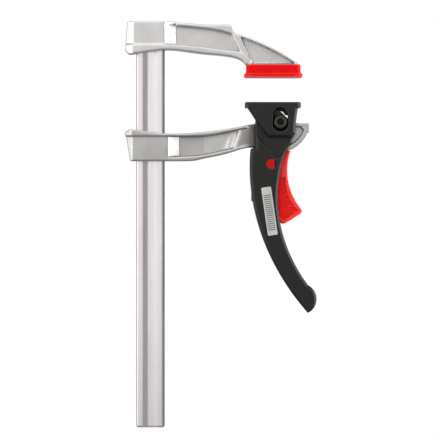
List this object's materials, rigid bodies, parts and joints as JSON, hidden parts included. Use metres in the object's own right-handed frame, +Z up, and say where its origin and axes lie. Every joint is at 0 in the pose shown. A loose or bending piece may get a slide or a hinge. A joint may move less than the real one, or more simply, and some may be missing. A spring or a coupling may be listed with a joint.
{
  "type": "quick release bar clamp",
  "caption": "Hand clamp with a fixed arm and a sliding arm on a flat bar, a cam lever that presses a plate up against the work, and a trigger that lets its ratchet go.",
  "frame": {"origin": "centre of the fixed jaw's clamping face, on the clamp's middle plane", "axes": "+Z up along the bar, against the way the clamping face looks; +X from the bar out past the jaws; +Y to the rear, the side of the nut on the lever's pivot bolt"},
  "size_m": [0.141, 0.0288, 0.2992],
  "materials": {
    "bar_steel": "drawn profiled bar, bright zinc plated, satin",
    "cast_metal": "die-cast, fine silver-grey lacquer",
    "red_plastic": "moulded, fine satin grain",
    "black_plastic": "glass-filled nylon, fine spark-eroded grain",
    "hardened_steel": "ground and hardened pins, spring steel",
    "blackened_steel": "black oxide"
  },
  "bodies": {
    "bar": {"rail": "bar_steel", "fixed_jaw": "cast_metal", "jaw_roll_pin": "hardened_steel", "jaw_cap": "red_plastic"},
    "arm": {"sliding_arm": "cast_metal", "upper_grip_pin": "hardened_steel", "lower_grip_pin": "hardened_steel", "friction_spring": "hardened_steel", "pivot_bolt": "blackened_steel", "pivot_nut": "blackened_steel"},
    "lever": {"lever": "black_plastic", "trigger_spring": "hardened_steel"},
    "plate": {"pressure_plate": "black_plastic"},
    "trigger": {"trigger": "red_plastic"}
  },
  "joints": [
    {"name": "arm_slide", "type": "slide", "parent": "bar", "child": "arm", "axis": [0, 0, 1], "range_m": [-0.195, 0.018]},
    {"name": "lever_pivot", "type": "hinge", "parent": "arm", "child": "lever", "pos_m": [0.0052, 0, -0.0331], "axis": [0, 1, 0], "range_deg": [-45, 0]},
    {"name": "plate_slide", "type": "slide", "parent": "arm", "child": "plate", "axis": [0, 0, 1], "range_m": [-0.0051, 0]},
    {"name": "trigger_pivot", "type": "hinge", "parent": "lever", "child": "trigger", "pos_m": [-0.0014, 0, -0.0639], "axis": [0, 1, 0], "range_deg": [0, 8], "stiffness_Nm_per_rad": 0.4, "springref_deg": -11.46, "deforming": ["trigger_spring"]}
  ],
  "couplings": [
    {"joint": "plate_slide", "follows": "lever_pivot", "m_per_rad": 0.0063662}
  ]
}
